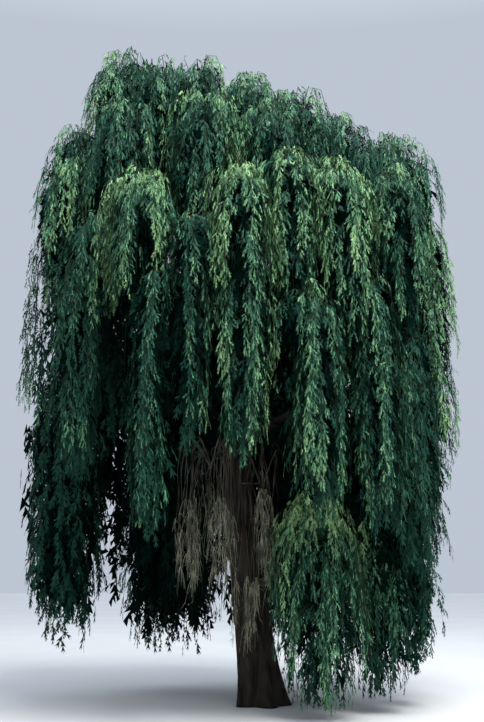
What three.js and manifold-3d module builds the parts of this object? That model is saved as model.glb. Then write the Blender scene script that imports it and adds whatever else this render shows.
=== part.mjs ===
// A weeping hemlock: a leaning trunk, boughs that carry arching drapes of foliage, and hanks of dead twigs.
// Millimetres, +Z up. The origin is the middle of the flat cut under the trunk, and -Y is the tree's front.
import * as THREE from "three";
import { mergeVertices } from "three/addons/utils/BufferGeometryUtils.js";
import Module from "manifold-3d";

const wasm = await Module();
wasm.setup();

const SEED = 4127;
const CLEAR = 0.35; // the gap between two pieces that meet
const FOLIAGE_GAP = 4; // what foliage keeps from every other piece

const TRUNK = {
  height: 7450,
  radius: 240, // above the root flare
  tipRadius: 28,
  taper: 1.15,
  lean: -0.125, // sideways for each unit of height
  straighten: 6.5e-6, // how the lean eases towards the top
  leanBack: 0.012,
  flareRadius: 130, // how far the roots swell out at the ground
  flareHeight: 420,
  buttresses: 5,
  buttressDepth: 0.42,
  sides: 15,
  heights: [0, 90, 250, 560, 1200, 2600, 4500, 6200, 7450],
};

// Each bough leaves the trunk at a height and ends at its tip, where its drapes begin.
const BOUGHS = {
  upper_left: { leaves: 5950, tip: [-1450, -150, 6500] },
  upper_front_left: { leaves: 5620, tip: [-1250, -800, 6200] },
  upper_front: { leaves: 6150, tip: [-500, -780, 6350] },
  upper_right: { leaves: 5780, tip: [300, -600, 6200] },
  upper_far_right: { leaves: 5400, tip: [950, 60, 6250] },
  upper_back: { leaves: 6050, tip: [-750, 750, 6350] },
  middle_left: { leaves: 4300, tip: [-1750, -50, 5000] },
  middle_front_left: { leaves: 4520, tip: [-1350, -1100, 4950] },
  middle_front: { leaves: 4900, tip: [-480, -1400, 5150] },
  middle_front_right: { leaves: 4620, tip: [350, -1200, 5100] },
  middle_right: { leaves: 4950, tip: [1050, -450, 5450] },
  middle_back: { leaves: 4250, tip: [-450, 1150, 4900] },
  low_front: { leaves: 3700, tip: [-300, -1300, 4100] },
  low_right: { leaves: 3100, tip: [900, -700, 3700] },
  low_back_left: { leaves: 3450, tip: [-1200, 850, 3800] },
  low_back_right: { leaves: 3250, tip: [600, 950, 3700] },
  foot_right: { leaves: 1350, tip: [470, -560, 1650] },
};
const BOUGH = {
  radius: 40, // at the trunk, with more for a longer bough
  radiusPerLength: 0.02,
  tipRadius: 30,
  taper: 0.8,
  rise: 0.08, // how far it arches, over its span
  sides: 6,
  steps: 3,
};

// Each drape: the limb that carries it, where it hangs in plan, its top, its foot and half its width.
// One that the trunk carries also has the height at which it leaves.
const DRAPES = {
  summit_left: { limb: "trunk", leaves: 7100, at: [-2010, -400], top: 8320, foot: 6750, half: 540 },
  summit_middle: { limb: "trunk", leaves: 6700, at: [-1480, -620], top: 8120, foot: 6600, half: 480 },
  summit_front: { limb: "trunk", leaves: 7380, at: [-900, -960], top: 8000, foot: 6650, half: 520 },
  summit_right: { limb: "trunk", leaves: 7260, at: [-60, -860], top: 7820, foot: 6600, half: 520 },
  summit_far_right: { limb: "trunk", leaves: 6950, at: [760, -380], top: 7760, foot: 6500, half: 560 },
  summit_back_right: { limb: "trunk", leaves: 7030, at: [100, 820], top: 7900, foot: 6300, half: 720 },
  summit_back_left: { limb: "trunk", leaves: 6850, at: [-1450, 750], top: 8050, foot: 6400, half: 720 },

  shoulder_left: { limb: "upper_left", at: [-2650, -150], top: 7300, foot: 5700, half: 480 },
  shoulder_front_left: { limb: "upper_front_left", at: [-1850, -1200], top: 7200, foot: 5700, half: 520 },
  shoulder_front: { limb: "upper_front", at: [-760, -1560], top: 7200, foot: 5500, half: 520 },
  shoulder_front_right: { limb: "upper_front", at: [260, -1480], top: 7080, foot: 5500, half: 520 },
  shoulder_right: { limb: "upper_right", at: [1250, -920], top: 7120, foot: 5500, half: 520 },
  shoulder_far_right: { limb: "upper_far_right", at: [2080, -50], top: 7210, foot: 5600, half: 520 },
  shoulder_back_right: { limb: "upper_far_right", at: [1250, 1250], top: 7100, foot: 5000, half: 800 },
  shoulder_back: { limb: "upper_back", at: [-350, 1700], top: 7100, foot: 5000, half: 800 },
  shoulder_back_left: { limb: "upper_left", at: [-1950, 1200], top: 7200, foot: 5000, half: 800 },

  middle_left: { limb: "upper_front_left", at: [-2560, -850], top: 6600, foot: 4900, half: 440 },
  arch_left: { limb: "middle_front_left", at: [-1420, -2000], top: 6000, foot: 4450, half: 500 },
  long_centre: { limb: "middle_front", at: [-220, -2350], top: 6000, foot: 2830, half: 400 },
  middle_centre: { limb: "middle_front_right", at: [330, -1950], top: 6350, foot: 4100, half: 420 },
  arch_right: { limb: "upper_right", at: [960, -1880], top: 6220, foot: 4000, half: 480 },
  middle_right: { limb: "middle_right", at: [1720, -1150], top: 6450, foot: 4200, half: 480 },
  middle_back: { limb: "middle_back", at: [350, 2100], top: 5900, foot: 3300, half: 900 },
  middle_back_left: { limb: "middle_back", at: [-1500, 1900], top: 5900, foot: 3300, half: 900 },
  middle_left_back: { limb: "middle_left", at: [-2600, 600], top: 6100, foot: 3500, half: 700 },

  skirt_far_left: { limb: "middle_left", at: [-2850, -420], top: 5800, foot: 3450, half: 340 },
  skirt_left: { limb: "middle_front_left", at: [-2150, -1450], top: 5650, foot: 2750, half: 470 },
  skirt_front_left: { limb: "low_front", at: [-1250, -2150], top: 4900, foot: 2030, half: 330 },
  skirt_front: { limb: "middle_front", at: [-820, -2250], top: 5500, foot: 2850, half: 330 },
  skirt_front_right: { limb: "low_front", at: [620, -2150], top: 4600, foot: 2280, half: 460 },
  skirt_right_front: { limb: "middle_front_right", at: [1300, -1700], top: 4900, foot: 2080, half: 440 },
  skirt_right: { limb: "low_right", at: [1800, -1000], top: 4700, foot: 1700, half: 480 },
  skirt_far_right: { limb: "middle_right", at: [2200, -280], top: 6100, foot: 2400, half: 420 },
  skirt_right_back: { limb: "low_back_right", at: [2050, 800], top: 5600, foot: 900, half: 800 },
  skirt_back: { limb: "low_back_right", at: [500, 1900], top: 4000, foot: 750, half: 900 },
  skirt_back_left: { limb: "low_back_left", at: [-1250, 1800], top: 4000, foot: 700, half: 900 },
  skirt_left_back: { limb: "low_back_left", at: [-2600, 600], top: 4500, foot: 850, half: 720 },

  foot_front: { limb: "foot_right", at: [650, -1320], top: 2280, foot: 180, half: 560 },
  foot_right: { limb: "foot_right", at: [1420, -640], top: 2100, foot: 230, half: 430 },
  foot_far_right: { limb: "low_right", at: [1950, -150], top: 3100, foot: 500, half: 460 },
};
// A drape is the space that one mass of foliage keeps to, along a spine that rises, bends over and hangs.
// Places on a spine run from 0 to 1 on the rise, 1 to 2 on the bend and 2 to 3 on the hanging part.
const DRAPE = {
  depth: 0.78, // the half depth over the half width
  from: 0.4, // where foliage begins
  fromWidth: 0.6, // the width there over the full one
  narrowsFrom: 2.4, // where it narrows towards its foot
  footWidth: 0.5,
  reach: 1.12, // how far the tips of sprays reach over the half width
  stretches: 12, // how many straight stretches distances from the spine are measured by
  neighbourhood: 2600, // how near in plan another drape has to be to matter
};
const SPINE = {
  crestBelowTop: 0.5, // over the half width, as the bend is
  bend: 0.85,
  mostOfReach: 0.45, // what the bend takes of the way out at most
  mostOfDrop: 0.6,
  stiffness: 0.35, // how far the rise keeps its way at each end, over its span
  tail: 240, // what the last sprays hang below the spine's end
};
const STEM = {
  radius: 18,
  endRadius: 14.4,
  sides: 4,
  places: [0, 0.25, 0.5, 0.75],
  pairedOffset: 15, // where two stems share a bough's tip
  pairedRadius: 12.6,
};
const CORE = {
  width: 0.78, // over the drape's width
  places: [0.45, 0.9, 1.4, 2.05, 2.6, 2.96],
  fullness: [0.4, 0.85, 1, 1, 0.95, 0.4], // at each place
  sides: 6,
  drawIn: [1, 0.9, 0.8, 0.7, 0.6, 0.5, 0.4, 0.3], // how far a side draws in from a neighbour
  margin: 1.15, // how much nearer than the neighbour's its own spine has to be
};
const TWIG = {
  radius: 11,
  bendRadius: 8,
  endRadius: 5.5,
  every: 1500, // along the spine
  count: [2, 3], // the fewest and the most
  jitter: [0.3, 0.6], // where it grows within its own stretch of the spine
  turn: [0.2, 1.2], // radians round the spine from the outside
  reach: [0.75, 0.9], // over the half width
  rise: 0.1, // over its own reach, as the next two are
  end: 1.1,
  droop: 0.35,
};
const SPRAY = {
  length: 880, // each stands for a whole hanging branchlet, on a drape of the usual half width
  usualHalf: 500,
  lengths: [0.8, 1.2], // how that varies
  halfWidth: 0.17, // over the length
  halfThick: 0.013,
  ridge: 0.42, // where along the blade its ridge is highest
  spread: [0.18, 0.4], // how far it leans out as it hangs
  jitter: [0.4, 0.9],
  turn: [0.1, 1.5],
  every: 560,
  count: [4, 8],
  sunk: 80,
  depths: [0.95, 0.75, 0.5], // where in the core its root can be, over the core's width
  tries: [1, 0.8, 0.6], // the shares of the length that are tried, until one fits
  leastJoin: 300, // the least volume that it shares with what carries it
};
const SPRAY_OUTLINE = [[0, 0], [1, 0.4], [0.55, 0.55], [0.1, 1], [-0.5, 0.7], [-0.95, 0.5]];
const CROWNING = { share: 0.35, places: [0.75, 2] }; // the twigs and sprays that grow on the arch
const HANGING = [2, 2.9]; // where the others grow
const LAST_SPRAYS = { lean: [-0.3, 0.25], lengths: [0.9, 1] }; // the two at the foot

// Hanks of dead twigs, which hang in front of the trunk.
const HANKS = {
  dead_twigs_left: { limb: "trunk", leaves: 3180, at: [-620, -1080], top: 3150, foot: 1250, half: 480 },
  dead_twigs_right: { limb: "trunk", leaves: 2650, at: [10, -980], top: 2750, foot: 1200, half: 280 },
};
const HANK = {
  radius: 20,
  endRadius: 7,
  places: [0, 0.5, 1, 1.5, 2],
  twigEvery: 62, // along the half width, on both sides together
  twigsFrom: 0.55,
  twigsTo: 1.95,
  twigRadii: [9, 7.2, 3.5],
  spread: [0.15, 1], // over the half width
  slope: 0.25, // down for each unit sideways
  lengths: [0.45, 1], // over the drop to the hank's foot
  waver: [-90, 90],
};

const BARK = new THREE.MeshStandardMaterial({ color: 0x4a423a, roughness: 0.95, metalness: 0 });
const DEAD = new THREE.MeshStandardMaterial({ color: 0x6b6456, roughness: 0.95, metalness: 0 });
const FOLIAGE = new THREE.MeshStandardMaterial({ color: 0x33563c, roughness: 0.8, metalness: 0 });
const UP = new THREE.Vector3(0, 0, 1);

// Seeded random numbers from 0 to 1, so that the same tree grows each time.
function seeded(seed) {
  let state = seed >>> 0;
  return () => {
    state = (state + 0x6d2b79f5) >>> 0;
    let t = state;
    t = Math.imul(t ^ (t >>> 15), t | 1);
    t ^= t + Math.imul(t ^ (t >>> 7), t | 61);
    return ((t ^ (t >>> 14)) >>> 0) / 4294967296;
  };
}

const rowsOf = (table) => Object.entries(table).map(([name, row]) => ({ name, ...row }));
const mix = (a, b, t) => a + (b - a) * t;
const within = ([least, most], random) => mix(least, most, random());
const clamp = (value, [least, most]) => Math.min(most, Math.max(least, value));

// A solid from a list of corners and the triangles between them.
function solidFrom(corners, faces) {
  const geometry = new THREE.BufferGeometry().setFromPoints(corners);
  geometry.setIndex(faces);
  const merged = mergeVertices(geometry, 1e-4);
  return new wasm.Manifold(
    new wasm.Mesh({
      numProp: 3,
      vertProperties: merged.attributes.position.array,
      triVerts: new Uint32Array(merged.index.array),
    }),
  );
}

// A closed skin over rings of equal count, which turn anticlockwise as seen from the last one.
function loft(rings) {
  const count = rings[0].length;
  const faces = [];
  for (let r = 0; r + 1 < rings.length; r++) {
    for (let i = 0; i < count; i++) {
      const next = (i + 1) % count;
      const [a, b, c, d] = [r * count + i, r * count + next, (r + 1) * count + next, (r + 1) * count + i];
      faces.push(a, b, c, a, c, d);
    }
  }
  const last = (rings.length - 1) * count;
  for (let i = 1; i + 1 < count; i++) {
    faces.push(0, i + 1, i, last, last + i, last + i + 1);
  }
  return solidFrom(rings.flat(), faces);
}

// A ring square to the way that the loft runs.
function ringAcross(centre, way, radius, sides) {
  const reference = Math.abs(way.z) > 0.8 ? new THREE.Vector3(1, 0, 0) : UP;
  const across = new THREE.Vector3().crossVectors(reference, way).normalize();
  const along = new THREE.Vector3().crossVectors(way, across);
  return Array.from({ length: sides }, (_, i) => {
    const angle = (i / sides) * 2 * Math.PI;
    return centre
      .clone()
      .addScaledVector(across, radius * Math.cos(angle))
      .addScaledVector(along, radius * Math.sin(angle));
  });
}

// A tapering limb through points, square to the given ways, or else to the way from point to point.
function limb(points, radii, sides, ways) {
  const rings = points.map((point, i) => {
    const ahead = points[Math.min(i + 1, points.length - 1)];
    const behind = points[Math.max(i - 1, 0)];
    const way = ways ? ways[i] : ahead.clone().sub(behind).normalize();
    return ringAcross(point, way, radii[i], sides);
  });
  return loft(rings);
}

function meshOf(solid, name, material) {
  const made = solid.getMesh();
  const geometry = new THREE.BufferGeometry();
  const corners = new Float32Array(made.numVert * 3);
  for (let i = 0; i < made.numVert; i++) {
    corners.set(made.vertProperties.subarray(i * made.numProp, i * made.numProp + 3), i * 3);
  }
  geometry.setAttribute("position", new THREE.BufferAttribute(corners, 3));
  geometry.setIndex(new THREE.BufferAttribute(new Uint32Array(made.triVerts), 1));
  const mesh = new THREE.Mesh(geometry, material);
  mesh.name = name;
  return mesh;
}

// The largest body of a fused solid, so that loose scraps drop off and sealed hollows fill.
function wholeBody(solid) {
  return solid.decompose().reduce((best, body) => (body.volume() > best.volume() ? body : best));
}

function boxesMeet(a, b, gap) {
  const p = a.boundingBox();
  const q = b.boundingBox();
  return [0, 1, 2].every((i) => p.min[i] <= q.max[i] + gap && q.min[i] <= p.max[i] + gap);
}

function isClear(solid, others) {
  const near = others.filter((other) => boxesMeet(solid, other, FOLIAGE_GAP));
  return near.every((other) => solid.minGap(other, 2 * FOLIAGE_GAP) >= FOLIAGE_GAP);
}

// The trunk: a leaning taper with a lobed root flare.
function trunkAxis(z) {
  return new THREE.Vector3(TRUNK.lean * z + TRUNK.straighten * z * z, TRUNK.leanBack * z, z);
}

function trunkRadius(z, angle) {
  const taper = mix(TRUNK.radius, TRUNK.tipRadius, (z / TRUNK.height) ** TRUNK.taper);
  const flare = TRUNK.flareRadius * Math.exp(-z / TRUNK.flareHeight);
  return taper + flare * (1 - TRUNK.buttressDepth * (1 - Math.cos(TRUNK.buttresses * angle)));
}

function trunkSolid(extra = 0) {
  const rings = TRUNK.heights.map((z) =>
    Array.from({ length: TRUNK.sides }, (_, i) => {
      const angle = (i / TRUNK.sides) * 2 * Math.PI;
      const radius = trunkRadius(z, angle) + extra;
      return trunkAxis(z).add(new THREE.Vector3(radius * Math.cos(angle), radius * Math.sin(angle), 0));
    }),
  );
  return loft(rings);
}

// A bough: it climbs out of the trunk's axis and levels off towards its tip.
function boughPath(bough) {
  const start = trunkAxis(bough.leaves);
  const tip = new THREE.Vector3(...bough.tip);
  const middle = start.clone().lerp(tip, 0.5);
  middle.z += BOUGH.rise * start.distanceTo(tip);
  return new THREE.QuadraticBezierCurve3(start, middle, tip);
}

function boughSolid(path, extra = 0) {
  const base = BOUGH.radius + BOUGH.radiusPerLength * path.getLength();
  const points = path.getPoints(BOUGH.steps);
  const ways = points.map((_, i) => path.getTangent(i / BOUGH.steps));
  const radii = points.map((_, i) => mix(base, BOUGH.tipRadius, (i / BOUGH.steps) ** BOUGH.taper) + extra);
  points.at(-1).addScaledVector(ways.at(-1), extra);
  return limb(points, radii, BOUGH.sides, ways);
}

// Where a stem starts: in the trunk, or just off the bough's tip, beside its fellow where there are two.
function rootOf(drape, fellows, paths) {
  if (drape.limb === "trunk") {
    const point = trunkAxis(drape.leaves);
    const way = new THREE.Vector3(...drape.at, drape.top).sub(point).normalize();
    return { point, way, radius: STEM.radius };
  }
  const path = paths.get(drape.limb);
  const way = path.getTangent(1);
  const point = path.getPoint(1).addScaledVector(way, CLEAR);
  if (fellows.length === 1) return { point, way, radius: STEM.radius };
  const wayTo = ({ at, top }) => new THREE.Vector3(...at, top).sub(point).projectOnPlane(way).normalize();
  const apart = wayTo(drape).sub(wayTo(fellows.find((other) => other !== drape))).normalize();
  return { point: point.addScaledVector(apart, STEM.pairedOffset), way, radius: STEM.pairedRadius };
}

// A drape's spine: it rises from its root to a crest, bends over, and hangs straight down to its foot.
function spineOf(drape, root) {
  const reach = new THREE.Vector3(drape.at[0] - root.point.x, drape.at[1] - root.point.y, 0);
  const out = reach.clone().normalize();
  const side = new THREE.Vector3(-out.y, out.x, 0);
  const corner = new THREE.Vector3(...drape.at, drape.top - SPINE.crestBelowTop * drape.half);
  const foot = new THREE.Vector3(...drape.at, drape.foot + SPINE.tail);
  const most = Math.min(SPINE.mostOfReach * reach.length(), SPINE.mostOfDrop * (corner.z - foot.z));
  const bend = Math.min(SPINE.bend * drape.half, most);
  const crest = corner.clone().addScaledVector(out, -bend);
  const shoulder = corner.clone().addScaledVector(UP, -bend);
  const straight = SPINE.stiffness * root.point.distanceTo(crest);
  const leaving = root.point.clone().addScaledVector(root.way, straight);
  const arriving = crest.clone().addScaledVector(out, -straight);
  const curves = [
    new THREE.CubicBezierCurve3(root.point, leaving, arriving, crest),
    new THREE.QuadraticBezierCurve3(crest, corner, shoulder),
    new THREE.LineCurve3(shoulder, foot),
  ];
  const part = (s) => Math.min(2, Math.floor(s));
  const at = (s) => curves[part(s)].getPoint(s - part(s));
  const tangent = (s) => curves[part(s)].getTangent(s - part(s));
  const outward = (s) => new THREE.Vector3().crossVectors(tangent(s), side).normalize();
  const spine = { drape, root, out, side, at, tangent, outward };
  spine.length = curves[1].getLength() + curves[2].getLength() + 0.5 * curves[0].getLength();
  const place = (i) => mix(DRAPE.from, 3, i / DRAPE.stretches);
  spine.stretches = Array.from({ length: DRAPE.stretches }, (_, i) => ({
    line: new THREE.Line3(at(place(i)), at(place(i + 1))),
    half: halfWidthAt(spine, place(i + 0.5)),
  }));
  return spine;
}

// Half the drape's width at a place on its spine.
function halfWidthAt(spine, s) {
  const { half } = spine.drape;
  if (s < 1) return half * mix(DRAPE.fromWidth, 1, (s - DRAPE.from) / (1 - DRAPE.from));
  if (s < DRAPE.narrowsFrom) return half;
  return half * mix(1, DRAPE.footWidth, (s - DRAPE.narrowsFrom) / (3 - DRAPE.narrowsFrom));
}

// How far a point lies from a spine, over the drape's half width there. The nearest spine owns the point.
function nearness(spine, point) {
  const closest = new THREE.Vector3();
  const over = ({ line, half }) => line.closestPointToPoint(point, true, closest).distanceTo(point) / half;
  return Math.min(...spine.stretches.map(over));
}

function ownedBy(spine, neighbours, point, margin) {
  const own = nearness(spine, point);
  return neighbours.every((other) => nearness(other, point) > own * margin);
}

// The way to the drape's side at an angle round its spine, where 0 is outside and the length is 1 sideways.
function around(spine, s, angle) {
  const outward = spine.outward(s).multiplyScalar(DRAPE.depth * Math.cos(angle));
  return outward.addScaledVector(spine.side, Math.sin(angle));
}

// The dense inside of a drape, drawn in where a neighbour is near.
function coreSolid(spine, neighbours, extra = 0) {
  const rings = CORE.places.map((s, k) => {
    const past = k === 0 ? -extra : k === CORE.places.length - 1 ? extra : 0;
    const centre = spine.at(s).addScaledVector(spine.tangent(s), past);
    const width = halfWidthAt(spine, s) * CORE.width * CORE.fullness[k];
    return Array.from({ length: CORE.sides }, (_, i) => {
      const spoke = around(spine, s, ((i + 0.5) / CORE.sides) * 2 * Math.PI).multiplyScalar(width);
      const side = (share) => centre.clone().addScaledVector(spoke, share);
      const share = CORE.drawIn.find((share) => ownedBy(spine, neighbours, side(share), CORE.margin));
      return side(share ?? CORE.drawIn.at(-1)).addScaledVector(spoke.normalize(), extra);
    });
  });
  const made = loft(rings);
  return made.volume() > 0 ? made : loft(rings.reverse());
}

function stemSolid(spine) {
  const radii = STEM.places.map((s) => mix(spine.root.radius, STEM.endRadius, s));
  return limb(STEM.places.map(spine.at), radii, STEM.sides, STEM.places.map(spine.tangent));
}

// A toothed blade on a low ridge, with its root sunk back along its way.
function spraySolid(root, way, facing, length) {
  const across = new THREE.Vector3().crossVectors(way, facing).normalize();
  const face = new THREE.Vector3().crossVectors(across, way).normalize();
  const total = length + SPRAY.sunk;
  const place = (u, v, w) =>
    root
      .clone()
      .addScaledVector(way, v * total - SPRAY.sunk)
      .addScaledVector(across, u * length * SPRAY.halfWidth)
      .addScaledVector(face, w * length * SPRAY.halfThick);
  const corners = SPRAY_OUTLINE.map(([u, v]) => place(u, v, 0));
  const count = corners.length;
  corners.push(place(0, SPRAY.ridge, 1), place(0, SPRAY.ridge, -1));
  const faces = SPRAY_OUTLINE.flatMap((_, i) => {
    const next = (i + 1) % count;
    return [count, i, next, count + 1, next, i];
  });
  const made = solidFrom(corners, faces);
  return made.volume() > 0 ? made : solidFrom(corners, faces.reverse());
}

// A drape grows by one seeded rule: twigs leave its spine, arch over and end in sprays, and more sprays
// stand out of its core. What would touch another piece or leave the drape's space is skipped.
function drapeSolid(spine, core, neighbours, obstacles, random) {
  const { foot, half } = spine.drape;
  const usual = SPRAY.length * Math.sqrt(half / SPRAY.usualHalf);
  let made = core.add(stemSolid(spine));
  const fuse = (piece) => {
    if (!isClear(piece, obstacles) || made.intersect(piece).volume() < SPRAY.leastJoin) return false;
    made = made.add(piece);
    return true;
  };
  const spray = (root, way, facing, length) =>
    SPRAY.tries.some((share) => {
      const fits = Math.min(length * share, (root.z - foot) / -way.z);
      const tip = root.clone().addScaledVector(way, fits);
      const inSpace = nearness(spine, tip) < DRAPE.reach && ownedBy(spine, neighbours, tip, 1);
      return inSpace && fuse(spraySolid(root, way, facing, fits));
    });
  const hanging = (way, spread) => way.clone().multiplyScalar(spread).sub(UP).normalize();
  const placeOf = (share) =>
    share < CROWNING.share
      ? mix(...CROWNING.places, share / CROWNING.share)
      : mix(...HANGING, (share - CROWNING.share) / (1 - CROWNING.share));

  const twigs = Math.round(clamp(spine.length / TWIG.every, TWIG.count));
  for (let k = 0; k < twigs; k++) {
    const s = placeOf((k + within(TWIG.jitter, random)) / twigs);
    const way = around(spine, s, (k % 2 ? -1 : 1) * within(TWIG.turn, random));
    const reach = halfWidthAt(spine, s) * within(TWIG.reach, random);
    const length = usual * within(SPRAY.lengths, random);
    const start = spine.at(s);
    const bend = start.clone().addScaledVector(way, reach).addScaledVector(UP, TWIG.rise * reach);
    const end = start.clone().addScaledVector(way, TWIG.end * reach);
    end.z -= TWIG.droop * reach;
    const bare = made;
    const twig = limb([start, bend, end], [TWIG.radius, TWIG.bendRadius, TWIG.endRadius], 3);
    const carries = fuse(twig) && spray(end, hanging(way, 0), way, length);
    if (!carries) made = bare;
  }

  const sprays = Math.round(clamp(spine.length / SPRAY.every, SPRAY.count));
  for (let k = 0; k < sprays; k++) {
    const s = placeOf((k + within(SPRAY.jitter, random)) / sprays);
    const way = around(spine, s, (k % 2 ? 1 : -1) * within(SPRAY.turn, random));
    const length = usual * within(SPRAY.lengths, random);
    const hang = hanging(way, within(SPRAY.spread, random));
    const width = halfWidthAt(spine, s) * CORE.width;
    SPRAY.depths.some((depth) => spray(spine.at(s).addScaledVector(way, width * depth), hang, way, length));
  }
  const end = spine.at(HANGING[1]);
  for (const lean of LAST_SPRAYS.lean) {
    const way = hanging(spine.side, lean);
    const facing = spine.out.clone().addScaledVector(spine.side, 2 * lean);
    spray(end, way, facing, (end.z - foot) * within(LAST_SPRAYS.lengths, random));
  }
  return wholeBody(made);
}

function hankStem(spine) {
  const radii = HANK.places.map((_, i) => mix(HANK.radius, HANK.endRadius, i / (HANK.places.length - 1)));
  return limb(HANK.places.map(spine.at), radii, 4);
}

// A hank of dead twigs: bare twigs hang from its stem in turn to either side.
function hankSolid(spine, obstacles, random) {
  const { foot, half } = spine.drape;
  const twigs = Math.round((2 * half) / HANK.twigEvery);
  let made = hankStem(spine);
  for (let k = 0; k < twigs; k++) {
    const start = spine.at(mix(HANK.twigsFrom, HANK.twigsTo, (k + 0.5) / twigs));
    const sideways = (k % 2 ? -1 : 1) * half * within(HANK.spread, random);
    const fall = HANK.slope * Math.abs(sideways);
    const low = mix(start.z, foot, within(HANK.lengths, random));
    const bend = start.clone().addScaledVector(spine.side, sideways).addScaledVector(UP, -fall);
    const end = bend.clone().addScaledVector(spine.side, within(HANK.waver, random)).setZ(low);
    const twig = limb([start, bend, end], HANK.twigRadii, 3);
    if (isClear(twig, obstacles)) made = made.add(twig);
  }
  return made;
}

// The tree
const trunk = trunkSolid();
const trunkCut = trunkSolid(CLEAR);
const paths = new Map(rowsOf(BOUGHS).map((bough) => [bough.name, boughPath(bough)]));
const boughs = new Map();
for (const [name, path] of paths) boughs.set(name, wholeBody(boughSolid(path).subtract(trunkCut)));
const limbs = new Map([["trunk", trunk], ...boughs]);

function spinesOf(rows) {
  return rows.map((row) => {
    const fellows = rows.filter((other) => other.limb === row.limb);
    return spineOf(row, rootOf(row, fellows, paths));
  });
}
const drapes = spinesOf(rowsOf(DRAPES));
const hanks = spinesOf(rowsOf(HANKS));

function neighboursOf(spine) {
  const [x, y] = spine.drape.at;
  const planGap = (other) => Math.hypot(other.drape.at[0] - x, other.drape.at[1] - y);
  return drapes.filter((other) => other !== spine && planGap(other) < DRAPE.neighbourhood);
}

// Each core is cut clear of the limbs and of the cores before it.
const FAT = 2 * FOLIAGE_GAP;
const limbCuts = [trunkSolid(FAT), ...[...paths.values()].map((path) => boughSolid(path, FAT))];
const coreCuts = [];
const grown = new Map();
for (const spine of drapes) {
  const neighbours = neighboursOf(spine);
  let core = coreSolid(spine, neighbours);
  for (const cut of [...limbCuts, ...coreCuts]) {
    if (boxesMeet(core, cut, 0) && core.intersect(cut).volume() > 0) core = wholeBody(core.subtract(cut));
  }
  grown.set(spine, core);
  coreCuts.push(coreSolid(spine, neighbours, FAT));
}
for (const spine of hanks) grown.set(spine, hankStem(spine));

[...drapes, ...hanks].forEach((spine, index) => {
  const random = seeded(SEED + 101 * index);
  const others = [...grown].filter(([other]) => other !== spine).map(([, solid]) => solid);
  const apart = [...limbs].filter(([name]) => name !== spine.drape.limb).map(([, solid]) => solid);
  const obstacles = [...others, ...apart];
  const made = hanks.includes(spine)
    ? hankSolid(spine, obstacles, random)
    : drapeSolid(spine, grown.get(spine), neighboursOf(spine), obstacles, random);
  grown.set(spine, spine.drape.limb === "trunk" ? wholeBody(made.subtract(trunkCut)) : made);
});

const tree = new THREE.Group();
tree.add(meshOf(trunk, "trunk", BARK));
for (const [name, solid] of boughs) tree.add(meshOf(solid, `bough_${name}`, BARK));
for (const spine of drapes) tree.add(meshOf(grown.get(spine), `foliage_${spine.drape.name}`, FOLIAGE));
for (const spine of hanks) tree.add(meshOf(grown.get(spine), spine.drape.name, DEAD));

export default tree;
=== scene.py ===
"""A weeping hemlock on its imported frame: barked limbs, arching and hanging twigs, and sprays of needles."""

import math

import bpy
import numpy as np
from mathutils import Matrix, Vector


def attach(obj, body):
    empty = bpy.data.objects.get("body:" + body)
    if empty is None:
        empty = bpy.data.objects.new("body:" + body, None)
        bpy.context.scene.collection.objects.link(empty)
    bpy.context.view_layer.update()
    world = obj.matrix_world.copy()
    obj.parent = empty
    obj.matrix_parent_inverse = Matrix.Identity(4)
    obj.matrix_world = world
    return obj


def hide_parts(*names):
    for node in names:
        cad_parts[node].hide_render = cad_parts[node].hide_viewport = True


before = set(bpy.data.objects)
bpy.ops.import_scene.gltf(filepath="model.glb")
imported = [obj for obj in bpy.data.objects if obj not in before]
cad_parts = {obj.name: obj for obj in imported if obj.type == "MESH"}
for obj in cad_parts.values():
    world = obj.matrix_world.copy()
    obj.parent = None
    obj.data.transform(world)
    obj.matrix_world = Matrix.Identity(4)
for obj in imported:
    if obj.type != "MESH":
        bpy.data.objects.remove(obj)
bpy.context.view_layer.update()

SEED = 4127
UP = np.array((0.0, 0.0, 1.0))
TURN = 2 * math.pi

# The limbs and drapes follow the part's own rule, in metres.
TRUNK = dict(
    height=7.45, radius=0.24, tip_radius=0.028, taper=1.15,
    lean=-0.125, straighten=0.0065, lean_back=0.012,
    flare_radius=0.13, flare_height=0.42, buttresses=5, buttress_depth=0.42,
)
BOUGH = dict(radius=0.04, radius_per_length=0.02, tip_radius=0.03, taper=0.8, rise=0.08)


def table(columns, rows):
    """Rows of values by name, with the columns' names given once."""
    return {name: dict(zip(columns, row)) for name, row in rows.items()}


BOUGHS = table(("leaves", "tip"), {
    "upper_left": (5.95, (-1.45, -0.15, 6.5)),
    "upper_front_left": (5.62, (-1.25, -0.8, 6.2)),
    "upper_front": (6.15, (-0.5, -0.78, 6.35)),
    "upper_right": (5.78, (0.3, -0.6, 6.2)),
    "upper_far_right": (5.4, (0.95, 0.06, 6.25)),
    "upper_back": (6.05, (-0.75, 0.75, 6.35)),
    "middle_left": (4.3, (-1.75, -0.05, 5)),
    "middle_front_left": (4.52, (-1.35, -1.1, 4.95)),
    "middle_front": (4.9, (-0.48, -1.4, 5.15)),
    "middle_front_right": (4.62, (0.35, -1.2, 5.1)),
    "middle_right": (4.95, (1.05, -0.45, 5.45)),
    "middle_back": (4.25, (-0.45, 1.15, 4.9)),
    "low_front": (3.7, (-0.3, -1.3, 4.1)),
    "low_right": (3.1, (0.9, -0.7, 3.7)),
    "low_back_left": (3.45, (-1.2, 0.85, 3.8)),
    "low_back_right": (3.25, (0.6, 0.95, 3.7)),
    "foot_right": (1.35, (0.47, -0.56, 1.65)),
})
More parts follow.
